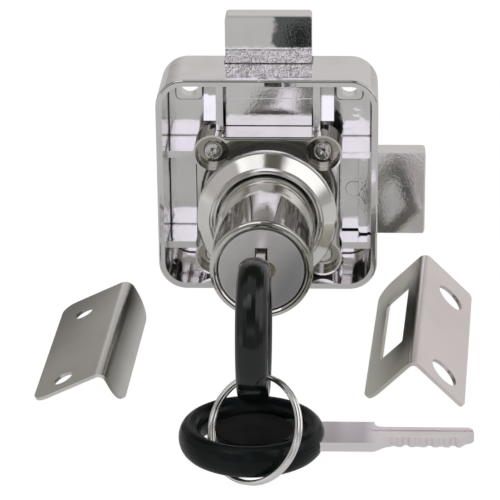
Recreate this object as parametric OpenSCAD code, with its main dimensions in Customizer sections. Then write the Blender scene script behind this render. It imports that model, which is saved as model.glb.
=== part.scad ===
// Cabinet lock with two bolts at a right angle, its keys on a split ring and two strike plates.
// The barrel's axis is the Y axis, and the viewer stands on the -Y side. The case's rim, which
// lies on the door, is the plane Y = 0, and its floor is behind it. Z points up.

/* [Case] */
// Width of the case
case_w = 50; // [46:0.5:60]
// Height of the case
case_h = 50; // [46:0.5:60]
// Depth of the case
case_depth = 20.6; // [20:0.1:26]
// Wall thickness of the case
wall = 1.45; // [1:0.05:2]
// Thickness of the case's floor
floor_t = 1; // [0.8:0.1:2]
// Corner radius of the case
case_r = 6.4; // [5:0.1:9]
// Gap between the block and the case's lower wall
block_gap = 1; // [0.6:0.05:2]
// Distance between the two screw holes
screw_spacing = 37; // [34:0.5:40]
// Radius of the screw holes
screw_r = 2.3; // [1.8:0.1:2.6]
// Thickness of the guide ribs
rib_t = 1.6; // [1:0.1:2.2]
// Depth of the guide ribs' front edges below the rim
rib_y = 8; // [6:0.5:11]

/* [Cylinder housing] */
// Side of the square block
block_w = 32.8; // [31:0.1:36]
// Depth of the block's front below the rim
block_y = 4; // [3:0.1:5]
// Depth of the block's back below the rim
block_back = 12.4; // [12:0.1:12.4]
// Distance from the block's sides to the rivets
rivet_inset = 3.85; // [3.6:0.05:4.4]
// Radius of the wells round the rivet heads
well_r = 3.95; // [3.4:0.05:4.2]
// Depth of the wells
well_depth = 3; // [2:0.1:4]
// Radius of the rivet heads
rivet_head_r = 2.2; // [1.8:0.1:2.4]
// Radius of the rivet shanks
rivet_r = 1.1; // [0.8:0.05:1.3]
// Radius of the barrel
barrel_r = 11; // [10.5:0.1:12]
// Distance from the rim to the barrel's mouth
barrel_len = 36.4; // [32:0.1:42]
// How far the lip at the mouth stands proud of the barrel
lip = 0.12; // [0.05:0.01:0.3]

/* [Rosette] */
// Outer radius of the rosette
rosette_r = 15.87; // [15:0.01:18]
// Radius of the rosette's bore
rosette_bore = 12; // [11.9:0.05:12.6]
// Distance from the rim to the rosette's outer edge
rosette_y = 4; // [3:0.1:6]
// How far the cone rises from its outer edge to its inner edge
rosette_rise = 2.8; // [2.6:0.1:4]
// Inner radius of the rosette's front lip
rosette_lip_r = 11.85; // [11.85:0.05:12]

/* [Plug] */
// Radius of the plug's body
plug_r = 6.5; // [6.2:0.1:7]
// Radius of the plug's face
face_r = 9.2; // [8.8:0.05:9.3]
// Thickness of the plug's head
head_t = 2.4; // [2:0.1:3]
// Width of the keyway
keyway_w = 2.7; // [2.4:0.1:3]
// Height of the keyway
keyway_h = 10.2; // [9.6:0.1:10.6]
// Side of the square tail
tail_w = 5.2; // [4.8:0.1:5.6]
// Distance from one wafer to the next
wafer_pitch = 2.6; // [2.4:0.1:2.8]
// Thickness of a wafer
wafer_t = 1.1; // [0.8:0.1:1.2]
// Width of a wafer
wafer_w = 6.8; // [6:0.1:7]

/* [Bolts] */
// Width of a bolt
bolt_w = 19.7; // [18:0.1:20.4]
// Thickness of a bolt
bolt_t = 6.4; // [6.4:0.1:7]
// Depth of the bolts' front faces below the rim
bolt_y = 12.9; // [12.9:0.1:13.4]
// How far a bolt stands out of the case
bolt_out = 11.1; // [10.7:0.1:12]
// Travel of a bolt
travel = 10.5; // [8:0.1:10.6]
// Thickness of a bolt's tail
tail_t = 3; // [2.6:0.1:3]
// Radius of the drive pins
pin_r = 1.3; // [1.1:0.05:1.4]

/* [Keys] */
// Distance from key 1's shoulder to the plug's face
key_out = 12.35; // [11.6:0.05:18]
// Height of key 1 above the barrel's axis
key_lift = 1.7; // [1.6:0.05:1.8]
// Thickness of the keys' metal
key_t = 1.9; // [1.6:0.1:2]
// Width of the keys' blades
blade_w = 5.5; // [5:0.1:5.6]
// Width of the keys' shanks
shank_w = 10.2; // [8:0.1:10.6]
// Outer radius of the keys' bows
bow_r = 14.7; // [14.6:0.05:14.8]
// Radial thickness of a bow's rim
bow_rim = 4.5; // [4:0.1:4.6]
// Thickness of the bows
bow_t = 6.4; // [5.6:0.1:6.4]
// Radius of the disc inside a bow
disc_r = 7.9; // [7:0.1:8]

/* [Split ring] */
// Mean radius of the split ring
ring_r = 10.58; // [10.5:0.01:10.7]
// Radius of the split ring's wire
wire_r = 0.5; // [0.4:0.02:0.52]

/* [Strikes] */
// Thickness of the strikes' sheet
sheet_t = 1.2; // [1:0.1:1.5]
// Length of the slotted strike
slotted_l = 54.5; // [54:0.5:58]
// Width of the slotted strike's leg with the slot
slotted_a = 14.8; // [14:0.1:16]
// Width of the slotted strike's leg with the holes
slotted_b = 15.1; // [14:0.1:16]
// Radius of the slotted strike's holes
slotted_hole_r = 3.5; // [2.5:0.1:3.8]
// Width of the slot
slot_w = 6.8; // [6:0.1:7.2]
// Length of the angle strike
angle_l = 46; // [42:0.5:50]
// Width of the angle strike's leg with the holes
angle_a = 17; // [15:0.5:18]
// Width of the angle strike's plain leg
angle_b = 9; // [8:0.5:10]
// Radius of the angle strike's holes
angle_hole_r = 1.7; // [1.4:0.1:2.2]
// How far the slotted strike's foot lies to the right of the barrel's axis
slotted_x = 21.8; // [21:0.1:24]
// How far the slotted strike's near end lies in front of the case's back edge
slotted_y = 75.5; // [74:0.1:78]
// How far the angle strike's foot lies to the left of the barrel's axis
angle_x = 47.5; // [46:0.1:50]
// How far the angle strike's near end lies in front of the case's back edge
angle_y = 76.7; // [75:0.1:80]
// Slope of the table that the loose pieces lie on, in degrees
table_tilt = 3; // [2.9:0.1:3.1]

/* [Hidden] */
$fn = 96;

// Clearance between pieces that only pass each other
gap = 0.3;
// Running clearance of a shaft or a square in its hole
run_fit = 0.06;
// Overlap that joins a rib to the wall that carries it
weld = 0.3;
// Straight steps in a quarter of a rounded edge
edge_steps = 5;

rise = case_h / 2 - wall - block_w / 2 - block_gap;
case_top = rise + case_h / 2;
case_right = case_w / 2;
floor_y = case_depth - floor_t;
rivet_pitch = block_w - 2 * rivet_inset;
mouth_y = -barrel_len;
plug_end = block_back - 2.3;
cam_y = plug_end + 0.2;
cam_t = 1.8;
cam_r = 9.6;
cavity_y = plug_end - 0.1;
pin_circle = travel / sqrt(2);
pin_side = travel / 2;
fork_half = pin_r + 0.3;
rear_tail_y = bolt_y + bolt_t - tail_t;
bolt_root = bolt_w / 2 + gap + travel + 0.05;
tail_root = bolt_w / 2 + travel / 2 - 0.9;
arm_x = 3.3;
tang_x = 9.8;
tang_w = 7;
shank_x = 13.2;
shoulder_x = 24.6;

// Puts what is drawn flat, with its height along Z, upright at depth y: Y becomes Z and Z becomes Y
module at_depth(y)
    translate([0, y, 0]) mirror([0, 1, 0]) rotate([90, 0, 0]) children();

function arc(cx, cy, r, from, to) =
    [for (i = [0:edge_steps]) let (a = from + (to - from) * i / edge_steps) [cx + r * cos(a), cy + r * sin(a)]];

// Half of a plate's cross-section: reach outwards, thickness t, edges rounded by e0 below and e1 above
module edge_profile(reach, t, e0, e1)
    polygon(concat([[0, 0]],
        e0 > 0 ? arc(reach - e0, e0, e0, -90, 0) : [[reach, 0]],
        e1 > 0 ? arc(reach - e1, t - e1, e1, 0, 90) : [[reach, t]],
        [[0, t]]));

// Plate w by h with corners of radius r, thickness t, its lower edge rounded by e0 and its upper by e1
module soft_plate(w, h, t, r, e0 = 0, e1 = 0) {
    for (mx = [0, 1], my = [0, 1])
        mirror([mx, 0, 0]) mirror([0, my, 0]) translate([w / 2 - r, h / 2 - r, 0])
            rotate_extrude(angle = 90) edge_profile(r, t, e0, e1);
    for (mx = [0, 1])
        mirror([mx, 0, 0]) translate([w / 2 - r, 0, 0])
            rotate([90, 0, 0]) linear_extrude(h - 2 * r, center = true) edge_profile(r, t, e0, e1);
    for (my = [0, 1])
        mirror([0, my, 0]) translate([0, h / 2 - r, 0])
            rotate([90, 0, 90]) linear_extrude(w - 2 * r, center = true) edge_profile(r, t, e0, e1);
    translate([-w / 2 + 0.7 * r, -h / 2 + 0.7 * r, 0]) cube([w - 1.4 * r, h - 1.4 * r, t]);
}

// Box between two corners
module box(lo, hi)
    translate(lo) cube(hi - lo);

module at_rivets(y)
    for (sx = [-1, 1], sz = [-1, 1])
        translate([sx * rivet_pitch / 2, 0, sz * rivet_pitch / 2]) at_depth(y) children();

module at_screws(y)
    for (sx = [-1, 1])
        translate([sx * screw_spacing / 2, 0, rise + screw_spacing / 2]) at_depth(y) children();

// Ribs that guide the bolts with a ledge beside each upper one, and the pads and posts on the case's floor
module case_inside() {
    ledge_w = 3.1;
    ledge_y = rib_y + 4;
    ledge_z = block_w / 2 + 1.5;
    lean = 0.38;
    slot = bolt_w / 2 + 0.4;
    in_top = case_top - wall + weld;
    in_side = case_right - wall + weld;
    edge = block_w / 2 + 0.5;
    for (sx = [-1, 1]) {
        box([min(sx * slot, sx * (slot + rib_t)), rib_y, edge],
            [max(sx * slot, sx * (slot + rib_t)), floor_y + weld, in_top]);
        box([min(sx * slot, sx * (slot + rib_t)), block_back, sx < 0 ? -rise : slot],
            [max(sx * slot, sx * (slot + rib_t)), floor_y + weld, edge + weld]);
        translate([min(sx * (slot + rib_t - weld), sx * (slot + rib_t + ledge_w)), 0, 0]) rotate([90, 0, 90])
            linear_extrude(ledge_w + weld)
                polygon([[ledge_y, ledge_z], [ledge_y + lean * (in_top - ledge_z), in_top],
                    [floor_y + weld, in_top], [floor_y + weld, ledge_z]]);
        for (sz = [-1, 1])
            box([min(sx * edge, sx * in_side), rib_y, min(sz * slot, sz * (slot + rib_t))],
                [max(sx * edge, sx * in_side), floor_y + weld, max(sz * slot, sz * (slot + rib_t))]);
    }
    at_rivets(block_back) cylinder(h = floor_y + weld - block_back, r = rivet_r + 1.2);
    at_screws(floor_y - 3) soft_plate(2 * screw_r + 1.8, 2 * screw_r + 1.8, 3 + weld, 1.2, 0.3);
}

module case() {
    color("silver")
    difference() {
        union() {
            difference() {
                translate([0, 0, rise]) at_depth(0)
                    soft_plate(case_w, case_h, case_depth, case_r, 0.5, 1.1);
                translate([0, 0, rise]) at_depth(-1)
                    soft_plate(case_w - 2 * wall, case_h - 2 * wall, floor_y + 1, case_r - wall, 0, 0.25);
            }
            intersection() {
                case_inside();
                translate([0, 0, rise]) at_depth(0)
                    soft_plate(case_w - wall, case_h - wall, case_depth - floor_t / 2, case_r - wall / 2);
            }
        }
        box([-bolt_w / 2 - gap, bolt_y - gap, case_top - wall - 1], [bolt_w / 2 + gap, floor_y, case_top + 1]);
        box([case_right - wall - 1, bolt_y - gap, -bolt_w / 2 - gap], [case_right + 1, floor_y, bolt_w / 2 + gap]);
        at_screws(0) cylinder(h = case_depth + 1, r = screw_r);
        at_rivets(block_back - 1) cylinder(h = floor_y + 0.5 - block_back, r = rivet_r + run_fit);
    }
}

// Front outline of the barrel, as radius and depth
module barrel_profile()
    polygon(concat([[0, block_y + 1], [0, mouth_y]],
        arc(barrel_r + lip - 0.9, mouth_y + 0.9, 0.9, -90, 0),
        [[barrel_r + lip, mouth_y + 1.6], [barrel_r, mouth_y + 2], [barrel_r, block_y + 1]]));

module cylinder_housing() {
    boss_r = rosette_bore - 0.07;
    color("gainsboro")
    difference() {
        union() {
            at_depth(block_y) soft_plate(block_w, block_w, block_back - block_y, 3.6, 0.7, 0);
            at_rivets(block_y) cylinder(h = block_back - block_y, r = well_r + 0.45);
            at_depth(0) rotate_extrude() barrel_profile();
            at_depth(0.3) cylinder(h = block_y, r = boss_r);
        }
        at_rivets(block_y - 1) cylinder(h = well_depth + 1, r = well_r);
        at_rivets(block_y) cylinder(h = block_back, r = rivet_r + run_fit);
        at_depth(mouth_y - 1) cylinder(h = head_t + 1.3, r = face_r + 0.4);
        at_depth(mouth_y - 0.5) cylinder(h = 0.9, r1 = face_r + 1.2, r2 = face_r + 0.3);
        at_depth(mouth_y) cylinder(h = cavity_y - mouth_y + 1, r = plug_r + run_fit);
        at_depth(cavity_y) cylinder(h = block_back, r = cam_r + 0.5);
        box([-wafer_w / 2 - gap, mouth_y + 3.6, -plug_r - 1.6], [wafer_w / 2 + gap, wafer_y(6) + 1, plug_r + 1.6]);
    }
}

// One rivet: domed head with a dimple, and its shank
module rivet() {
    head_h = 0.9;
    rotate_extrude()
        polygon(concat([[0, -head_h + 0.25], [0.5, -head_h + 0.2], [0.8, -head_h]],
            arc(rivet_head_r - 0.5, -0.4, 0.5, -90, 0),
            [[rivet_head_r, 0], [rivet_r, 0], [rivet_r, floor_y - 0.8 - block_y - well_depth],
            [0, floor_y - 0.8 - block_y - well_depth]]));
}

module housing_rivets() {
    color("silver")
    at_rivets(block_y + well_depth) rivet();
}

module rosette() {
    t = 1.1;
    y0 = -rosette_y;
    y1 = y0 - rosette_rise;
    color("silver")
    at_depth(0) rotate_extrude($fn = 180)
        polygon([[rosette_bore, block_y - gap], [rosette_bore, y1 + 2.2], [rosette_lip_r, y1 + 1.8],
            [rosette_lip_r, y1 + 0.4], [rosette_lip_r + 0.15, y1 + 0.1], [rosette_lip_r + 0.45, y1],
            [rosette_lip_r + 0.7, y1 + 0.1], [rosette_lip_r + 0.8, y1 + 0.35], [rosette_lip_r + 1.05, y1 + 0.25],
            [rosette_r - 0.5, y0 - 0.32], [rosette_r - 0.15, y0 - 0.15],
            [rosette_r, y0 + 0.1], [rosette_r, y0 + t - 0.2], [rosette_r - 0.6, y0 + t],
            [rosette_bore + t + 0.2, y1 + 2.2], [rosette_bore + t, y1 + 2.6], [rosette_bore + t, block_y - gap]]);
}

function wafer_y(i) = mouth_y + 4.4 + wafer_pitch * (i - 1);

module plug() {
    slot_x = wafer_w / 2 + 0.05;
    color("silver")
    difference() {
        union() {
            at_depth(mouth_y + 0.15) rotate_extrude() edge_profile(face_r, head_t, 0.2, 0);
            at_depth(mouth_y + 1) cylinder(h = plug_end - mouth_y - 1, r = plug_r);
            box([-tail_w / 2, plug_end - 1, -tail_w / 2], [tail_w / 2, cam_y + cam_t - 0.1, tail_w / 2]);
        }
        box([-keyway_w / 2, mouth_y - 1, -keyway_h / 2], [keyway_w / 2, wafer_y(6) + 3, keyway_h / 2]);
        translate([keyway_w / 2 - 0.2, 0, 0]) at_depth(mouth_y - 1) cylinder(h = wafer_y(1) - mouth_y + 1, r = 1.95);
        for (i = [1:6]) {
            box([-slot_x, wafer_y(i) - 0.05, -plug_r - 1], [slot_x, wafer_y(i) + wafer_t + 0.05, plug_r + 1]);
            box([0, wafer_y(i) - 0.05, -2.7], [5.5, wafer_y(i) + wafer_t + 0.05, 2.3]);
        }
        at_depth(plug_end - 4) cylinder(h = 8, r = 1.4);
    }
}

// One wafer with its window for the key and the ear that its spring pushes on
module wafer(i) {
    sill = [0, 0.4, 0.2, 0.6, 0.3, 0.5][i - 1];
    color("goldenrod")
    difference() {
        union() {
            intersection() {
                at_depth(wafer_y(i)) cylinder(h = wafer_t, r = plug_r - 0.05);
                box([-wafer_w / 2, 0 - barrel_len, -plug_r], [wafer_w / 2, plug_end, plug_r]);
            }
            box([wafer_w / 2 - 0.5, wafer_y(i), -2.6], [5.3, wafer_y(i) + wafer_t, -1.7]);
        }
        box([-1.15, mouth_y, -1.75 + sill / 2], [1.15, plug_end, 4.9]);
    }
}

module wafer_1() wafer(1);
module wafer_2() wafer(2);
module wafer_3() wafer(3);
module wafer_4() wafer(4);
module wafer_5() wafer(5);
module wafer_6() wafer(6);

// Each spring is drawn closed, as the stack of its turns
module wafer_springs() {
    turns = 5;
    height = 3.9;
    color("silver")
    for (i = [1:6])
        translate([4.5, wafer_y(i) + wafer_t / 2, -1.7]) rotate_extrude($fn = 24)
            polygon(concat([[0, 0]],
                [for (k = [0:4 * turns]) [0.42 + 0.08 * cos(k * 90), height * k / (4 * turns)]],
                [[0, height]]));
}

module at_pin(top)
    translate([pin_side, 0, top ? pin_side : -pin_side]) children();

module cam_plate() {
    color("lightslategray")
    difference() {
        intersection() {
            at_depth(cam_y) cylinder(h = cam_t, r = cam_r);
            box([-4.4, cam_y, -cam_r], [cam_r, cam_y + cam_t, cam_r]);
        }
        box([-tail_w / 2 - run_fit, cam_y - 1, -tail_w / 2 - run_fit],
            [tail_w / 2 + run_fit, cam_y + cam_t + 1, tail_w / 2 + run_fit]);
        at_pin(true) at_depth(cam_y - 1) cylinder(h = cam_t + 2, r = pin_r);
        at_pin(false) at_depth(cam_y - 1) cylinder(h = cam_t + 2, r = pin_r);
    }
}

module top_drive_pin() {
    color("silver")
    at_pin(true) at_depth(cam_y) cylinder(h = bolt_y + tail_t - 0.2 - cam_y, r = pin_r);
}

module side_drive_pin() {
    color("silver")
    at_pin(false) at_depth(cam_y) cylinder(h = bolt_y + bolt_t - 0.2 - cam_y, r = pin_r);
}

module lock_washer() {
    color("silver")
    difference() {
        at_depth(cam_y + cam_t) cylinder(h = 0.4, r = 3.3);
        at_depth(cam_y + cam_t - 1) cylinder(h = 3, r = 1.6);
        box([-0.3, cam_y, 0], [0.3, cam_y + cam_t + 1, 4]);
    }
}

module cam_screw() {
    seat = cam_y + cam_t + 0.4;
    color("dimgray")
    difference() {
        union() {
            at_depth(seat) rotate_extrude() edge_profile(2.6, 1.5, 0, 0.5);
            at_depth(plug_end - 3) cylinder(h = seat + 1 - plug_end + 3, r = 1.35);
        }
        box([-0.35, seat + 0.8, -1.6], [0.35, seat + 2, 1.6]);
        box([-1.6, seat + 0.8, -0.35], [1.6, seat + 2, 0.35]);
    }
}

// A bolt drawn upwards: its head, and a tail in the front or rear half of its thickness with the fork for its pin;
// edge is the height of the case's outer face above the barrel's axis, where the bolt comes out
module bolt(tail_y, edge) {
    face_step = 0.3;
    bolt_tip = edge + bolt_out;
    difference() {
        union() {
            translate([0, 0, (bolt_root + bolt_tip) / 2]) at_depth(bolt_y)
                soft_plate(bolt_w, bolt_tip - bolt_root, bolt_t, 0.8, 0.25, 0.25);
            box([-bolt_w / 2, tail_y, tail_root], [bolt_w / 2, tail_y + tail_t, bolt_root + 1]);
            box([arm_x, tail_y, pin_side - fork_half - 2.2], [bolt_w / 2, tail_y + tail_t, tail_root + 1]);
            box([-bolt_w / 2, tail_y, 9], [-bolt_w / 2 + 3, tail_y + tail_t, tail_root + 1]);
        }
        box([0, tail_y - 1, pin_side - fork_half], [pin_circle - 0.05, tail_y + tail_t + 1, pin_side + fork_half]);
        translate([pin_circle - 0.05, 0, pin_side]) at_depth(tail_y - 1) cylinder(h = tail_t + 2, r = fork_half);
        box([-bolt_w, bolt_y - 1, edge - 8.3], [bolt_w, bolt_y + face_step, bolt_tip + 1]);
        translate([-bolt_w, 0, 0]) rotate([90, 0, 90]) linear_extrude(2 * bolt_w)
            polygon([[bolt_y, bolt_tip - 0.5], [bolt_y + face_step + 0.9, bolt_tip + 0.1], [bolt_y, bolt_tip + 0.1]]);
    }
}

module top_bolt() {
    color("silver")
    bolt(bolt_y, case_top);
}

module side_bolt() {
    color("silver")
    difference() {
        union() {
            rotate([0, 90, 0]) bolt(rear_tail_y, case_right);
            translate([(block_w / 2 + bolt_root) / 2 + 1, 0, 0]) at_depth(rear_tail_y - 0.15)
                rotate_extrude() edge_profile(1.9, 0.5, 0.1, 0);
        }
        box([case_right - wall - 0.75, bolt_y - 1, -bolt_w], [case_right - wall - 0.15, bolt_y + 0.9, bolt_w]);
    }
}

// Places what is drawn round key 1's bow, its blade along X, as the key stands in the plug
module at_key_1()
    translate([0, mouth_y + 0.15 - key_out - shoulder_x, key_lift]) rotate([90, 0, 90]) children();

// Places the ring and key 2 from key 1's bow, because they hang together
module from_key_1(offset)
    translate([0, mouth_y + 0.15 - key_out - shoulder_x, key_lift] + offset) children();

module at_key_2()
    from_key_1([-0.48, -3.72, -21.23]) rotate([-0.85, 0, 0]) children();

// A key's metal drawn flat: tang, shank with its shoulder, blade with cuts and groove
module key_metal() {
    b = blade_w / 2;
    w = shank_w / 2;
    difference() {
        union() {
            translate([0, 0, -key_t / 2]) linear_extrude(key_t)
                polygon(concat([[shank_x, -w], [shoulder_x - 0.2, -w], [shoulder_x + w - b, -b], [41.6, -b],
                    [42.6, -b + 1.45], [43.9, -0.6], [44.4, 0.4], [44.2, b - 0.85], [43.4, b]],
                    arc(shoulder_x + 1.6, b + 1.6, 1.6, -90, -180), [[shoulder_x, w], [shank_x, w]]));
            box([tang_x, -tang_w / 2, -key_t / 2], [shank_x + 0.1, tang_w / 2, key_t / 2]);
        }
        for (i = [0:5])
            translate([28.4 + 2.35 * i, -b, -key_t]) linear_extrude(2 * key_t)
                polygon([[-1.1, -0.4], [-0.35, cut_depth(i)], [0.35, cut_depth(i)], [1.1, -0.4]]);
        box([shoulder_x - 1.1, 0.6, key_t / 2 - 0.4], [50, 1.4, key_t]);
    }
}

function cut_depth(i) = [0.5, 0.9, 0.3, 0.7, 0.4, 0.8][i];

// A key's moulded bow drawn flat: rounded rim, disc, web and the seat of the metal
module key_bow() {
    centre = bow_r - bow_rim / 2;
    difference() {
        union() {
            rotate_extrude()
                polygon([for (k = [0:23]) [centre + bow_rim / 2 * cos(15 * k), bow_t / 2 * sin(15 * k)]]);
            translate([0.6, 0, -1.5]) rotate_extrude() edge_profile(disc_r, 3, 0.4, 0.4);
            box([5, -5, -1.5], [11.5, 5, 1.5]);
        }
        box([tang_x, -tang_w / 2, -key_t / 2], [shank_x + 2, tang_w / 2, key_t / 2]);
        box([shank_x, -shank_w / 2, -key_t / 2], [shank_x + 2, shank_w / 2, key_t / 2]);
    }
}

module key_1_blade() {
    color("silver")
    at_key_1() key_metal();
}

module key_1_bow() {
    color("dimgray")
    at_key_1() key_bow();
}

module key_2_blade() {
    color("silver")
    at_key_2() key_metal();
}

module key_2_bow() {
    color("dimgray")
    at_key_2() key_bow();
}

// Two turns of round wire side by side, with a nick where each turn ends
module split_ring() {
    pitch = 0.9 * wire_r;
    meet = acos(0.9) - 90;
    color("silver")
    from_key_1([0.41, -11.5, -16.1]) rotate([-32.78, 0, 0]) rotate([0, 0, -33.33]) rotate([90, 0, 0])
    difference() {
        rotate_extrude($fn = 144)
            polygon(concat(
                [for (k = [0:12]) let (a = meet + (180 - 2 * meet) * k / 12)
                    [ring_r + wire_r * cos(a), pitch + wire_r * sin(a)]],
                [for (k = [1:11]) let (a = 180 + meet + (180 - 2 * meet) * k / 12)
                    [ring_r + wire_r * cos(a), -pitch + wire_r * sin(a)]]));
        rotate([0, 0, 38]) box([ring_r - 1, -0.15, 0], [ring_r + 1, 0.15, 2]);
        rotate([0, 0, 62]) box([ring_r - 1, -0.15, -2], [ring_r + 1, 0.15, 0]);
    }
}

// Puts what is drawn on the table, with the table as Z = 0 and the case's back edge as Y = 0
module on_table()
    translate([0, case_depth, rise - case_h / 2]) rotate([table_tilt, 0, 0]) children();

// Removes the corner at the origin of a plate t thick, to a radius r
module round_off(r, t)
    difference() {
        translate([-1, -1, -1]) cube([r + 1, r + 1, t + 2]);
        translate([r, r, -2]) cylinder(h = t + 4, r = r);
    }

// A strike drawn standing on end: leg a along -X, leg b along -Y, length l along Z, corners ra and rb
module angle_sheet(a, b, l, ra, rb) {
    bend = sheet_t + 0.4;
    difference() {
        union() {
            translate([-a, -sheet_t, 0]) cube([a - bend, sheet_t, l]);
            translate([-sheet_t, -b, 0]) cube([sheet_t, b - bend, l]);
            translate([-bend, -bend, 0]) rotate_extrude(angle = 90) translate([bend - sheet_t, 0]) square([sheet_t, l]);
        }
        translate([-a, 0, 0]) rotate([90, 0, 0]) round_off(ra, sheet_t);
        translate([-a, 0, l]) rotate([90, 0, 0]) mirror([0, 1, 0]) round_off(ra, sheet_t);
        translate([-sheet_t, -b, 0]) rotate([90, 0, 90]) round_off(rb, sheet_t);
        translate([-sheet_t, -b, l]) rotate([90, 0, 90]) mirror([0, 1, 0]) round_off(rb, sheet_t);
    }
}

// Lays a strike on the table on the edges of both legs, the foot of leg a at x, y, turned by yaw
module lay_strike(a, b, l, x, y, yaw) {
    slope = atan((b - sheet_t) / (a - sheet_t));
    on_table() translate([x, y, 0]) rotate([0, 0, yaw])
        translate([a * cos(slope), 0, a * sin(slope) + sheet_t * cos(slope)]) rotate([0, -slope, 0])
        translate([0, l, 0]) rotate([90, 0, 0]) children();
}

module slotted_strike() {
    color("silver")
    lay_strike(slotted_a, slotted_b, slotted_l, slotted_x, -slotted_y, -4)
    difference() {
        angle_sheet(slotted_a, slotted_b, slotted_l, 4.5, 1.2);
        for (sz = [-1, 1])
            translate([-sheet_t - 1, -0.58 * slotted_b, 0.54 * slotted_l + sz * screw_spacing / 2])
                rotate([0, 90, 0]) cylinder(h = sheet_t + 2, r = slotted_hole_r);
        translate([-0.525 * slotted_a, 1, 0.4665 * slotted_l]) rotate([90, 0, 0])
            soft_plate(slot_w, 0.533 * slotted_l, sheet_t + 2, 1.6);
    }
}

module angle_strike() {
    color("silver")
    lay_strike(angle_a, angle_b, angle_l, -angle_x, -angle_y, -2)
    difference() {
        angle_sheet(angle_a, angle_b, angle_l, 1, 5);
        for (sz = [-1, 1])
            translate([-0.62 * angle_a, 1, 0.535 * angle_l + sz * 16])
                rotate([90, 0, 0]) cylinder(h = sheet_t + 2, r = angle_hole_r);
    }
}

case();
cylinder_housing();
housing_rivets();
rosette();
plug();
wafer_1();
wafer_2();
wafer_3();
wafer_4();
wafer_5();
wafer_6();
wafer_springs();
cam_plate();
top_drive_pin();
side_drive_pin();
cam_screw();
lock_washer();
top_bolt();
side_bolt();
key_1_blade();
key_1_bow();
key_2_blade();
key_2_bow();
split_ring();
angle_strike();
slotted_strike();
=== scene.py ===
import math
import bpy
import numpy as np
from mathutils import Matrix, Vector
from mathutils.geometry import delaunay_2d_cdt


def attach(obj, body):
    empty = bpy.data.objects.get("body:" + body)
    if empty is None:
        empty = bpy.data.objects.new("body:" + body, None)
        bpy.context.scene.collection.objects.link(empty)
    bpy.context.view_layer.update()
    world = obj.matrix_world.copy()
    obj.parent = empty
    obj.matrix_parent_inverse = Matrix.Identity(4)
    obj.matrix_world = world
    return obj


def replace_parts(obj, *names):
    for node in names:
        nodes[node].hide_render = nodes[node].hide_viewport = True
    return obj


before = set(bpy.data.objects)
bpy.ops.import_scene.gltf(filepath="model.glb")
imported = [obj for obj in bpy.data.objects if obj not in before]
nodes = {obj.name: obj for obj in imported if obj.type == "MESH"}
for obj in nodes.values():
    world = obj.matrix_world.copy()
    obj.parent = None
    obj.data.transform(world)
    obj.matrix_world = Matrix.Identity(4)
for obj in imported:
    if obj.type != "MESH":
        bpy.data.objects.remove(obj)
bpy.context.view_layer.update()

print("frame loaded:", len(nodes), "nodes")

# camera: place in metres, angles in degrees, focal length in pixels of the square frame
cameraView = {"place": (0.020, -0.512, 0.1875), "down": 21.0, "turn": 2.69, "roll": -0.63, "focal": 2400.0,
              "pixels": 500, "sensor": 36.0, "near": 0.01, "far": 20.0}


def setCamera(view):
    down, turn, roll = (math.radians(view[k]) for k in ("down", "turn", "roll"))
    level = Vector((math.cos(turn), math.sin(turn), 0))
    ahead = Vector((-math.sin(turn) * math.cos(down), math.cos(turn) * math.cos(down), -math.sin(down)))
    above = level.cross(ahead)
    right = level * math.cos(roll) + above * math.sin(roll)
    up = above * math.cos(roll) - level * math.sin(roll)
    lens = bpy.data.cameras.new("camera")
    lens.sensor_width = view["sensor"]
    lens.lens = view["focal"] / view["pixels"] * view["sensor"]
    lens.clip_start = view["near"]
    lens.clip_end = view["far"]
    camera = bpy.data.objects.new("camera", lens)
    axes = Matrix((right, up, -ahead)).transposed().to_4x4()
    camera.matrix_world = Matrix.Translation(view["place"]) @ axes
    bpy.context.scene.collection.objects.link(camera)
    bpy.context.scene.camera = camera


setCamera(cameraView)
bpy.context.scene.view_settings.view_transform = "Standard"
print("camera set")


# a socket whose arithmetic adds Math nodes to its tree
class Value:
    def __init__(self, tree, socket):
        self.tree = tree
        self.socket = socket

    def maths(self, operation, *parts):
        return self.tree.add("ShaderNodeMath", {"operation": operation}, dict(enumerate(parts)))

    def __add__(self, other): return self.maths("ADD", self, other)
    def __radd__(self, other): return self.maths("ADD", other, self)
    def __sub__(self, other): return self.maths("SUBTRACT", self, other)
    def __rsub__(self, other): return self.maths("SUBTRACT", other, self)
    def __mul__(self, other): return self.maths("MULTIPLY", self, other)
    def __rmul__(self, other): return self.maths("MULTIPLY", other, self)
    def __pow__(self, other): return self.maths("POWER", self, other)
    def size(self): return self.maths("ABSOLUTE", self)

    # 0 where the value is short of start, 1 past end, smooth between
    def rise(self, start, end):
        return self.tree.add("ShaderNodeMapRange", {"interpolation_type": "SMOOTHSTEP"},
                             {"Value": self, "From Min": start, "From Max": end})


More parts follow.
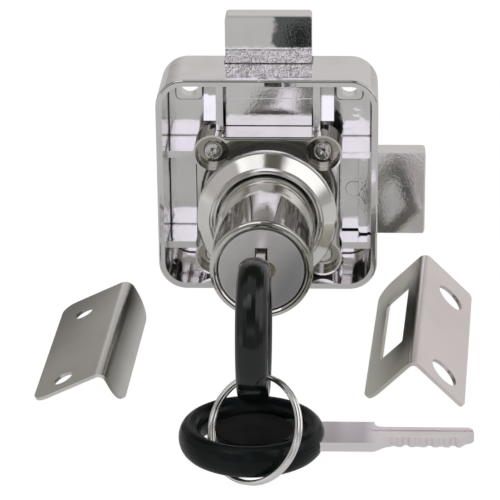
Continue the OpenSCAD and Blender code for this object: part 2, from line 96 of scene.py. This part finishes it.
# a node tree whose add method makes any node: its settings first, then the values or links of its sockets
class Tree:
    def __init__(self, owner):
        owner.use_nodes = True
        self.tree = owner.node_tree
        self.tree.nodes.clear()

    # gives the named output, or a list where several are named
    def add(self, kind, settings=None, inputs=None, output=0):
        node = self.tree.nodes.new(kind)
        for name, setting in (settings or {}).items():
            setattr(node, name, setting)
        for name, given in (inputs or {}).items():
            socket = node.inputs[name]
            if isinstance(given, Value):
                self.tree.links.new(given.socket, socket)
            elif given is not None:
                if socket.type == "RGBA":
                    given = (*given, 1.0)
                socket.default_value = given
        if isinstance(output, tuple):
            return [Value(self, node.outputs[name]) for name in output]
        return Value(self, node.outputs[output]) if node.outputs else node

    def place(self):
        return self.add("ShaderNodeTexCoord", output="Object")

    def axes(self, vector):
        return self.add("ShaderNodeSeparateXYZ", None, {0: vector}, (0, 1, 2))

    # how far a vector reaches in a direction
    def reach(self, vector, direction):
        return self.add("ShaderNodeVectorMath", {"operation": "DOT_PRODUCT"},
                        {0: vector, 1: direction}, "Value")

    def stretch(self, vector, amounts):
        return self.add("ShaderNodeVectorMath", {"operation": "MULTIPLY"}, {0: vector, 1: amounts})

    def noise(self, vector, scale, detail=2.0, rough=0.5):
        return self.add("ShaderNodeTexNoise", None,
                        {"Vector": vector, "Scale": scale, "Detail": detail, "Roughness": rough}, "Fac")

    # first where share is 0, second where it is 1; the colours are sockets 6 and 7 of the node
    def mix(self, share, first, second):
        return self.add("ShaderNodeMix", {"data_type": "RGBA"}, {0: share, 6: first, 7: second}, 2)

    def bump(self, height, depth, below=None):
        return self.add("ShaderNodeBump", None, {"Height": height, "Distance": depth, "Normal": below})

    def surface(self, **sockets):
        named = {name.replace("_", " "): given for name, given in sockets.items()}
        shader = self.add("ShaderNodeBsdfPrincipled", None, named)
        self.add("ShaderNodeOutputMaterial", None, {"Surface": shader})


def newFinish(name):
    material = bpy.data.materials.new(name)
    return material, Tree(material)


def dress(material, *names):
    for name in names:
        slots = nodes[name].data.materials
        slots.clear()
        slots.append(material)


# scale, per metre, and detail of the noise that an edge wavers with
waverNoise = {"scale": 300.0, "detail": 3.0}


# painted light: colour that turns into each painted shade or highlight where all of its slopes are past their
# end;
# a slope is told as direction, start and end, and how far its edge wavers, if it does
def paintLightOver(tree, at, colour, paintedLight):
    for shade, slopes in paintedLight:
        share = None
        for direction, start, end, *waver in slopes:
            along = tree.reach(at, direction)
            if waver:
                along = along + waver[0] * (tree.noise(at, **waverNoise) - 0.5)
            edge = along.rise(start, end)
            share = edge if share is None else edge * share
        colour = tree.mix(share, colour, shade)
    return colour


# bright nickel plating: clouded colour, orange peel of the casting, fine speckle, and rough corners with
# painted shade.
# Scales are per metre, lengths in metres, and a pair is where something starts and ends. Bands are heights
# with a rough skin, wells the rivet holes, painted with shade deep inside, as middle, radius and floor, and
# lean tilts reflections sideways.
plating = {"light": (0.85, 0.835, 0.83), "dark": (0.80, 0.785, 0.77), "cloud": 140.0,
           "cloudEdge": (0.42, 0.75), "metal": 0.94, "rough": 0.07, "dull": 0.03, "fineEdge": (0.45, 0.75),
           "dullEdge": (0.4, 0.8), "peelScale": 420.0, "peel": 0.000008, "patches": 3.0, "patchScale": 110.0,
           "patchEdge": (0.56, 0.66), "speckScale": 1700.0, "speck": 0.000002,
           "cornerShade": (0.42, 0.40, 0.36), "dirt": 0.4, "corner": (0.3, 0.62), "cornerReach": 0.0007,
           "bands": (), "bandPeel": 9.0, "bandEdge": 0.0004,
           "wells": None, "wellShade": (0.42, 0.40, 0.35), "wellEdge": 0.0002, "wellDepth": 0.0003,
           "paintedLight": [], "lean": 0.0}


def platedFinish(name, look):
    material, tree = newFinish(name)
    at = tree.place()
    across, along, height = tree.axes(at)
    cloud = tree.noise(at, look["cloud"], detail=3.0)
    fine = tree.noise(at, look["speckScale"], detail=3.0, rough=0.6)
    peel = tree.noise(at, look["peelScale"])
    # painted shade: ambient occlusion darkens the colour into the corners, where shade falls, and makes them
    # rougher
    corner = tree.add("ShaderNodeAmbientOcclusion", {"samples": 6, "only_local": True},
                      {"Distance": look["cornerReach"]}, "AO")
    unshaded = corner.rise(*look["corner"])
    colour = tree.mix(cloud.rise(*look["cloudEdge"]), look["light"], look["dark"])
    colour = tree.mix(unshaded, look["cornerShade"], colour)
    rough = look["rough"] + look["dull"] * fine.rise(*look["fineEdge"])
    rough = rough + look["dull"] * cloud.rise(*look["dullEdge"]) + look["dirt"] * (1.0 - unshaded)
    coarse = look["patches"] * tree.noise(at, look["patchScale"]).rise(*look["patchEdge"])
    for start, end in look["bands"]:
        above, below = height.rise(start, start + look["bandEdge"]), height.rise(end, end - look["bandEdge"])
        coarse = coarse + look["bandPeel"] * above * below
    ripple = tree.bump(peel * (coarse + 1.0), look["peel"])
    # painted shade deep inside the rivet wells, where shade falls
    if look["wells"]:
        middle, radius, floor = look["wells"]
        away = ((across.size() - middle) ** 2.0 + (height.size() - middle) ** 2.0) ** 0.5
        inside = away.rise(radius, radius - look["wellEdge"]) * along.rise(floor - look["wellDepth"], floor)
        colour = tree.mix(inside, colour, look["wellShade"])
    colour = paintLightOver(tree, at, colour, look["paintedLight"])
    if look["lean"]:
        ripple = tree.bump(across * look["lean"], depth=1.0, below=ripple)
    tree.surface(Base_Color=colour, Metallic=look["metal"], Roughness=rough,
                 Normal=tree.bump(fine, look["speck"], ripple))
    return material


# the case's painted corner shade is paler and reaches further out of the corners
caseLook = dict(plating, peel=0.000014, patches=4.0, cornerShade=(0.60, 0.585, 0.57), corner=(0.5, 0.82))
dress(platedFinish("platedCase", caseLook), "case")

# bolts: smooth; the top one has two bands of rough skin and a painted dark reflection on the right of its
# upper face
boltLook = dict(plating, rough=0.05, peelScale=1700.0, peel=0.000012, speckScale=3600.0, speck=0.000006,
                patches=0.6)
topPaintedReflection = [((0.16, 0.17, 0.17), [((1, 0, 0.12), 0.0052, 0.0066, 0.006), ((0, 0, 1), 0.0349, 0.0351),
                                   ((0, 1, 0), 0.0138, 0.0134)])]
topLook = dict(boltLook, lean=0.03, bands=((0.0308, 0.0346), (0.0262, 0.0288)), paintedLight=topPaintedReflection)
dress(platedFinish("platedTopBolt", topLook), "top_bolt")
dress(platedFinish("platedSideBolt", boltLook), "side_bolt")

rivetLook = dict(plating, light=(0.78, 0.77, 0.75), rough=0.12, peelScale=1500.0, peel=0.00005)
dress(platedFinish("platedRivet", rivetLook), "housing_rivets")

# barrel, block and rosette: smoother; the block's wells hold painted shade, and the barrel has painted shade
# on its right
smooth = dict(plating, light=(0.77, 0.755, 0.73), dark=(0.68, 0.665, 0.62), rough=0.06, peel=0.000010,
              patches=0.5)
# painted shade over the barrel's right side, in front of the block
barrelPaintedShade = [((0.42, 0.41, 0.36), [((1, 0, 0), 0.003, 0.010), ((0, -1, 0), 0.001, 0.003)])]
barrelLook = dict(smooth, wells=(0.01255, 0.0039, 0.0068), paintedLight=barrelPaintedShade)
dress(platedFinish("platedBarrel", barrelLook), "cylinder_housing")
conical = dict(smooth, light=(0.95, 0.935, 0.915), dark=(0.88, 0.865, 0.84), rough=0.12)
dress(platedFinish("platedRosette", conical), "rosette")

# plug: a satin face, with painted shade greying it towards its lower right
plugPaintedShade = [((0.62, 0.62, 0.64), [((0.9, 0, -0.4), 0.0005, 0.007)])]
faced = dict(plating, light=(1.0, 0.985, 0.97), dark=(0.92, 0.905, 0.89), rough=0.28, dull=0.05,
             speckScale=3000.0, speck=0.000007, metal=0.45, paintedLight=plugPaintedShade)
dress(platedFinish("platedPlug", faced), "plug")

# satin metal with a faint brushed grain; grain gives the noise's scale along each axis
satin = {"light": (0.88, 0.855, 0.83), "dark": (0.78, 0.755, 0.73), "cloud": 60.0, "cloudEdge": (0.4, 0.75),
         "rough": 0.27, "streak": 0.08, "streakEdge": (0.35, 0.75), "depth": 0.0000008,
         "grain": (1800.0, 60.0, 1800.0), "paintedLight": []}


def satinFinish(name, look):
    material, tree = newFinish(name)
    at = tree.place()
    streak = tree.noise(tree.stretch(at, look["grain"]), 1.0, detail=3.0, rough=0.6)
    cloud = tree.noise(at, look["cloud"])
    colour = tree.mix(cloud.rise(*look["cloudEdge"]), look["light"], look["dark"])
    colour = paintLightOver(tree, at, colour, look["paintedLight"])
    rough = look["rough"] + look["streak"] * streak.rise(*look["streakEdge"])
    tree.surface(Base_Color=colour, Metallic=1.0, Roughness=rough, Normal=tree.bump(streak, look["depth"]))
    return material


# the table that the loose parts lie on, in millimetres: it passes the case's lower back edge and slopes down
# towards the viewer, in degrees; the floor is laid a little under it
table = {"back": 20.6, "height": -18.85, "slope": 3.0, "under": 0.2}

# where a strike's corner lies, in millimetres on the plane of the table, and its turn in degrees
slottedPlace = {"at": (21.8, -75.5), "yaw": -4.0}
anglePlace = {"at": (-47.5, -76.7), "yaw": -2.0}


# painted shade and highlights over a strike, their slopes told in millimetres from its corner: u across it, v
# along its bend
def strikePaintedLight(place, paintedLight):
    turn = math.radians(place["yaw"])
    corner = np.array(place["at"]) + (0, table["back"])
    told = []
    for shade, slopes in paintedLight:
        turned = []
        for (u, v), start, end in slopes:
            direction = (u * math.cos(turn) - v * math.sin(turn), u * math.sin(turn) + v * math.cos(turn), 0)
            offset = float(corner @ direction[:2])
            turned.append((direction, (start + offset) / 1000, (end + offset) / 1000))
        told.append((shade, turned))
    return told


# slotted strike: painted shade greys the slotted leg and darkens it between the slot and the bend
slottedPaintedShade = [((0.70, 0.69, 0.61), [((1, 0), 10.6, 9.6)]),
                 ((0.09, 0.095, 0.07), [((1, 0), 4.6, 8.0), ((1, 0), 10.4, 9.2), ((0, 1), 2, 16),
                                        ((0, 1), 50, 36)])]
# angle strike: painted shade towards its far outer corner, a painted highlight along the bend, and painted
# shade beside it
anglePaintedLight = [((0.40, 0.40, 0.39), [((-2.0, 1), 4, 44)]),
               ((1.0, 0.99, 0.96), [((1, 0), 13.2, 13.9), ((1, 0), 15.3, 14.7)]),
               ((0.30, 0.30, 0.25), [((1, 0), 15.2, 15.7), ((1, 0), 19.2, 15.9)])]
pressed = dict(satin, rough=0.22, streak=0.03, depth=0.0000001)
slottedLook = dict(pressed, light=(0.93, 0.86, 0.855), dark=(0.88, 0.81, 0.805),
                   paintedLight=strikePaintedLight(slottedPlace, slottedPaintedShade))
angleLook = dict(pressed, paintedLight=strikePaintedLight(anglePlace, anglePaintedLight))
slottedSatin = satinFinish("satinStrike", slottedLook)
angleSatin = satinFinish("satinAngle", angleLook)
dress(slottedSatin, "slotted_strike")
dress(angleSatin, "angle_strike")

# keys, ring and the parts inside
keyLook = dict(satin, light=(0.98, 0.935, 0.95), dark=(0.94, 0.895, 0.91), rough=0.16, depth=0.000004)
dress(satinFinish("keyAlong", dict(keyLook, grain=(60.0, 1600.0, 1600.0))), "key_2_blade")
dress(satinFinish("keyUpright", keyLook), "key_1_blade")
ringLook = dict(satin, light=(0.97, 0.965, 0.96), dark=(0.90, 0.89, 0.885), rough=0.16, depth=0.000002)
dress(satinFinish("ringWire", ringLook), "split_ring")
innerLook = dict(satin, light=(0.6, 0.6, 0.6), dark=(0.42, 0.42, 0.43), rough=0.3)
dress(satinFinish("innerSteel", innerLook), "cam_plate", "top_drive_pin", "side_drive_pin", "cam_screw",
      "lock_washer", "wafer_springs")
brassLook = dict(satin, light=(0.74, 0.64, 0.44), dark=(0.58, 0.49, 0.32), rough=0.2)
dress(satinFinish("waferBrass", brassLook), *[f"wafer_{i}" for i in range(1, 7)])

# bows: glossy black plastic with a faint flow of the melt and rubbed spots; disc is the middle and radius of
# a duller disc that painted shade turns a deeper black
plastic = {"black": (0.005, 0.008, 0.008), "rubbed": (0.012, 0.016, 0.016), "gloss": 0.5, "rough": 0.07,
           "flowScale": 120.0, "flowEdge": (0.4, 0.75), "flowDull": 0.08, "dullEdge": (0.35, 0.7),
           "grainScale": 3200.0, "grainDull": 0.04, "grain": 0.000004,
           "disc": None, "discEdge": 0.0002, "discShade": (0.0012, 0.0014, 0.0014), "discDull": 0.3}


def plasticFinish(name, look):
    material, tree = newFinish(name)
    at = tree.place()
    flow = tree.noise(at, look["flowScale"])
    grain = tree.noise(at, look["grainScale"])
    colour = tree.mix(flow.rise(*look["flowEdge"]), look["black"], look["rubbed"])
    rough = look["rough"] + look["flowDull"] * flow.rise(*look["dullEdge"]) + look["grainDull"] * grain
    # painted shade: the disc turns a deeper black where the standing bow darkens it
    if look["disc"]:
        middleX, middleY, radius = look["disc"]
        across, along, height = tree.axes(at)
        away = ((across - middleX) ** 2.0 + (along - middleY) ** 2.0) ** 0.5
        inside = away.rise(radius, radius - look["discEdge"])
        colour = tree.mix(inside, colour, look["discShade"])
        rough = rough + look["discDull"] * inside
    tree.surface(Base_Color=colour, Roughness=rough, Specular_IOR_Level=look["gloss"],
                 Normal=tree.bump(grain, look["grain"]))
    return material


dress(plasticFinish("standingBow", plastic), "key_1_bow")

# the lying bow's disc: its radius, and how far right of the bow's middle it lies, in metres
lyingDisc = {"right": 0.0006, "radius": 0.0079}
bowMiddle = np.mean([tuple(corner) for corner in nodes["key_2_bow"].bound_box], 0).tolist()
lyingLook = dict(plastic, black=(0.008, 0.012, 0.012), rubbed=(0.018, 0.024, 0.024), rough=0.16, gloss=0.16,
                 disc=(bowMiddle[0] + lyingDisc["right"], bowMiddle[1], lyingDisc["radius"]))
dress(plasticFinish("lyingBow", lyingLook), "key_2_bow")
print("finishes on all nodes")

# rolled lip that closes the rosette towards the barrel: a ring, in millimetres, its depth along the barrel
rolledLip = {"middle": 11.62, "section": 0.27, "depth": -6.45, "around": 160, "across": 20}


# point at angle a round the barrel and b round the section: its radius is middle + section cos b, and its
# place along the barrel is depth + section sin b
def rollLip(look):
    a = np.linspace(0, 2 * math.pi, look["around"], endpoint=False)[:, None]
    b = np.linspace(0, 2 * math.pi, look["across"], endpoint=False)[None, :]
    radius = look["middle"] + look["section"] * np.cos(b)
    depth = look["depth"] + look["section"] * np.sin(b)
    points = np.stack([radius * np.cos(a), depth + 0 * a, radius * np.sin(a)], -1).reshape(-1, 3) / 1000
    index = np.arange(len(points)).reshape(look["around"], look["across"])
    nextIndex = np.roll(index, -1, 0)
    faces = np.stack([index, np.roll(index, -1, 1), np.roll(nextIndex, -1, 1), nextIndex], -1).reshape(-1, 4)
    mesh = bpy.data.meshes.new("rosetteLip")
    mesh.from_pydata(points.tolist(), [], faces.tolist())
    mesh.shade_smooth()
    mesh.materials.append(nodes["rosette"].data.materials[0])
    ring = bpy.data.objects.new("rosetteLip", mesh)
    bpy.context.scene.collection.objects.link(ring)
    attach(ring, "rosette")


rollLip(rolledLip)
print("rosette lip rolled")

# strikes stamped from sheet, in millimetres: legs a and b, length, thickness of the solid and of the sheet,
# outer radius of the bend, corners of each leg, and the bevel of the edges. They sink through the table's
# plane to the floor, and outline points nearer than merge are joined. A hole is told as its leg, how far its
# middle lies from that leg's outer edge and along the strike, half its width and length, and its corners.
strike = {"solid": 1.2, "bevel": 0.2, "bevelSteps": 3, "bevelAngle": 50, "sink": 0.2, "cornerSteps": 12,
          "bendSteps": 9, "merge": 0.00001}
angleStrike = dict(strike, **anglePlace, a=17.0, b=9.0, length=46.0, sheet=0.75, bend=2.3, cornerA=3.2,
                   cornerB=5.0,
                   holes=[("a", 6.46, 8.61, 2.25, 2.25, 2.25), ("a", 6.46, 40.61, 2.25, 2.25, 2.25)])
slottedStrike = dict(strike, **slottedPlace, a=14.8, b=15.1, length=54.5, sheet=0.8, bend=1.9, cornerA=4.5,
                     cornerB=1.4,
                     holes=[("b", 6.342, 10.93, 3.5, 3.5, 3.5), ("b", 6.342, 47.93, 3.5, 3.5, 3.5),
                            ("a", 7.03, 25.42425, 3.4, 14.52, 0.6)])


# rounded rectangle as a loop of points: middle, half sizes, and the corner radius of its left and right sides
def roundedLoop(middle, half, left, right, steps):
    quarter = np.linspace(0, math.pi / 2, steps)
    loop = []
    for k, (sx, sy) in enumerate(((1, 1), (-1, 1), (-1, -1), (1, -1))):
        r = right if sx > 0 else left
        turn = quarter + k * math.pi / 2
        corner = np.array([middle[0] + sx * (half[0] - r), middle[1] + sy * (half[1] - r)])
        loop.append(corner + r * np.column_stack([np.cos(turn), np.sin(turn)]))
    return np.vstack(loop)


# which points lie in a rounded rectangle: their distance to it is below 0
def inLoop(points, middle, half, left, right):
    apart = points - middle
    r = np.where(apart[:, 0] > 0, right, left)
    over = np.abs(apart) - np.array(half) + r[:, None]
    return np.hypot(*np.maximum(over, 0).T) + np.minimum(over.max(1), 0) < r


# flat sheet u across, v along: u runs over leg a, round the bend by its angle, and down leg b
def bendSheet(points, look):
    u, v = points.T
    flat, arc = look["a"] - look["bend"], look["bend"] * math.pi / 2
    turn = np.clip((u - flat) / look["bend"], 0, math.pi / 2)
    x = np.minimum(u, flat) - look["a"] + look["bend"] * np.sin(turn)
    y = look["bend"] * (np.cos(turn) - 1) - np.maximum(u - flat - arc, 0)
    return np.column_stack([x, y, v])


# from the strike's own axes, its bend along z at the origin, to its place on the table, both legs' ends down
def strikePlace(look):
    slope = math.atan((look["b"] - look["solid"]) / (look["a"] - look["solid"]))
    plane = Matrix.Translation((0, table["back"], table["height"]))
    plane = plane @ Matrix.Rotation(math.radians(table["slope"]), 4, "X")
    lying = Matrix.Translation((*look["at"], 0)) @ Matrix.Rotation(math.radians(look["yaw"]), 4, "Z")
    top = look["a"] * math.sin(slope) + look["solid"] * math.cos(slope) - look["sink"]
    tent = Matrix.Translation((look["a"] * math.cos(slope), 0, top)) @ Matrix.Rotation(-slope, 4, "Y")
    tent = tent @ Matrix.Translation((0, look["length"], 0))
    return np.array(plane @ lying @ tent @ Matrix.Rotation(math.pi / 2, 4, "X"))


# cuts the flat sheet along its outline, holes and bend, bends it, and gives it thickness and rounded edges
def stampStrike(name, look, finish):
    arc = look["bend"] * math.pi / 2
    wide = look["a"] + look["b"] - 2 * look["bend"] + arc
    half = (wide / 2, look["length"] / 2)
    outline = (half, half, look["cornerA"], look["cornerB"])
    holes = []
    for leg, inwards, along, halfU, halfV, corner in look["holes"]:
        u = inwards if leg == "a" else wide - inwards
        holes.append(((u, along), (halfU, halfV), corner, corner))
    loops = [roundedLoop(*shape, look["cornerSteps"]) for shape in (outline, *holes)]
    starts = np.cumsum([0] + [len(loop) for loop in loops])
    edges = [np.stack([index, np.roll(index, -1)], 1) for index in map(np.arange, starts[:-1], starts[1:])]
    folds = look["a"] - look["bend"] + np.linspace(0, arc, look["bendSteps"])
    folds = np.stack([np.repeat(folds, 2), np.tile([0.0, look["length"]], len(folds))], 1)
    edges.append(starts[-1] + np.arange(len(folds)).reshape(-1, 2))
    corners = [Vector(point) for point in np.vstack([*loops, folds])]
    flat = delaunay_2d_cdt(corners, np.vstack(edges).tolist(), [], 0, look["merge"])
    points, faces = np.array(flat[0]), np.array(flat[2])
    middles = points[faces].mean(1)
    kept = inLoop(middles, *outline)
    for hole in holes:
        kept &= ~inLoop(middles, *hole)
    put = strikePlace(look)
    placed = (bendSheet(points, look) @ put[:3, :3].T + put[:3, 3]) / 1000
    mesh = bpy.data.meshes.new(name)
    mesh.from_pydata(placed.tolist(), [], faces[kept][:, ::-1].tolist())
    mesh.validate()
    mesh.shade_smooth()
    mesh.materials.append(finish)
    sheet = bpy.data.objects.new(name, mesh)
    bpy.context.scene.collection.objects.link(sheet)
    solid = sheet.modifiers.new("solid", "SOLIDIFY")
    solid.thickness = look["sheet"] / 1000
    solid.offset = -1
    bevel = sheet.modifiers.new("bevel", "BEVEL")
    bevel.width = look["bevel"] / 1000
    bevel.segments = look["bevelSteps"]
    bevel.limit_method = "ANGLE"
    bevel.angle_limit = math.radians(look["bevelAngle"])
    bevel.harden_normals = True
    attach(sheet, "lock")
    return sheet


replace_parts(stampStrike("angleSheet", angleStrike, angleSatin), "angle_strike")
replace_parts(stampStrike("slottedSheet", slottedStrike, slottedSatin), "slotted_strike")
print("strikes stamped")

# floor: a pale plane just under the table's; shown is how far the camera sees a plain white glow in place of
# the shaded floor, and mirrored how far metal does
floor = {"reach": 0.6, "white": 0.8, "shown": 0.9, "mirrored": 0.25, "glow": 1.09}


def layFloor(look):
    slope = math.radians(table["slope"])
    corner = np.array([[-1, -1], [1, -1], [1, 1], [-1, 1]], float) * look["reach"]
    points = np.column_stack([corner[:, 0], table["back"] / 1000 + corner[:, 1] * math.cos(slope),
                              (table["height"] - table["under"]) / 1000 + corner[:, 1] * math.sin(slope)])
    mesh = bpy.data.meshes.new("floor")
    mesh.from_pydata(points.tolist(), [], [(0, 1, 2, 3)])
    material, tree = newFinish("floorWhite")
    camera, glossy, clear = tree.add("ShaderNodeLightPath",
                                     output=("Is Camera Ray", "Is Glossy Ray", "Is Transmission Ray"))
    share = (camera + clear) * look["shown"] + glossy * look["mirrored"]
    plain = tree.add("ShaderNodeBsdfDiffuse", None, {"Color": (look["white"],) * 3})
    glow = tree.add("ShaderNodeEmission", None, {"Color": (1.0, 1.0, 1.0), "Strength": look["glow"]})
    mixed = tree.add("ShaderNodeMixShader", None, {0: share, 1: plain, 2: glow})
    tree.add("ShaderNodeOutputMaterial", None, {"Surface": mixed})
    mesh.materials.append(material)
    plane = bpy.data.objects.new("floor", mesh)
    bpy.context.scene.collection.objects.link(plane)


layFloor(floor)

# light: a dome with a pale back, grey left and front, and a dark top; cards glow in it, told by their
# direction, their half width and soft rim in radians, and the colour that a mirror shows
dome = {"pale": (0.62, 0.605, 0.60), "left": (0.26, 0.25, 0.23), "leftEdge": (-0.45, -0.12),
        "front": (0.24, 0.235, 0.225), "frontEdge": (-0.5, 0.3), "dark": (0.075, 0.07, 0.052),
        "darkEdge": (0.42, 0.62),
        "cards": [{"towards": (-0.04, -0.93, 0.36), "wide": 0.10, "soft": 0.12, "glow": (1.16, 1.13, 1.27)},
                  {"towards": (0.72, -0.21, 0.64), "wide": 0.38, "soft": 0.22, "glow": (1.10, 1.09, 1.09)},
                  {"towards": (-0.90, -0.36, 0.06), "wide": 0.16, "soft": 0.22, "glow": (0.95, 0.92, 0.89)},
                  {"towards": (-0.84, -0.19, 0.50), "wide": 0.34, "soft": 0.35, "glow": (0.43, 0.42, 0.41)},
                  {"towards": (-0.15, 0.05, 0.99), "wide": 0.34, "soft": 0.13, "glow": (0.47, 0.47, 0.48)}]}
softBox = {"place": (-0.30, -0.35, 0.80), "aim": (0.0, -0.03, 0.0), "size": 0.40, "glow": 0.9}


def setDome(look):
    world = bpy.data.worlds.new("studio")
    bpy.context.scene.world = world
    tree = Tree(world)
    towards = tree.add("ShaderNodeTexCoord", output="Generated")
    across, along, height = tree.axes(towards)
    shade = tree.mix(across.rise(*look["leftEdge"]), look["left"], look["pale"])
    shade = tree.mix(along.rise(*look["frontEdge"]), look["front"], shade)
    shade = tree.mix(height.rise(*look["darkEdge"]), shade, look["dark"])
    for card in look["cards"]:
        near = tree.reach(towards, Vector(card["towards"]).normalized())
        inner, outer = math.cos(card["wide"]), math.cos(card["wide"] + card["soft"])
        shade = tree.mix(near.rise(outer, inner), shade, card["glow"])
    sky = tree.add("ShaderNodeBackground", None, {"Color": shade})
    white = tree.add("ShaderNodeBackground", None, {"Color": (1.0, 1.0, 1.0)})
    seen = tree.add("ShaderNodeLightPath", output="Is Camera Ray")
    both = tree.add("ShaderNodeMixShader", None, {0: seen, 1: sky, 2: white})
    tree.add("ShaderNodeOutputWorld", None, {"Surface": both})


# a square lamp that looks as bright as a card of the given glow
def hangBox(look):
    lamp = bpy.data.lights.new("softBox", "AREA")
    lamp.size = look["size"]
    lamp.energy = look["glow"] * math.pi * look["size"] ** 2
    hung = bpy.data.objects.new("softBox", lamp)
    facing = (Vector(look["aim"]) - Vector(look["place"])).to_track_quat("-Z", "Y")
    hung.matrix_world = Matrix.Translation(look["place"]) @ facing.to_matrix().to_4x4()
    bpy.context.scene.collection.objects.link(hung)


setDome(dome)
hangBox(softBox)
print("floor and lights set")
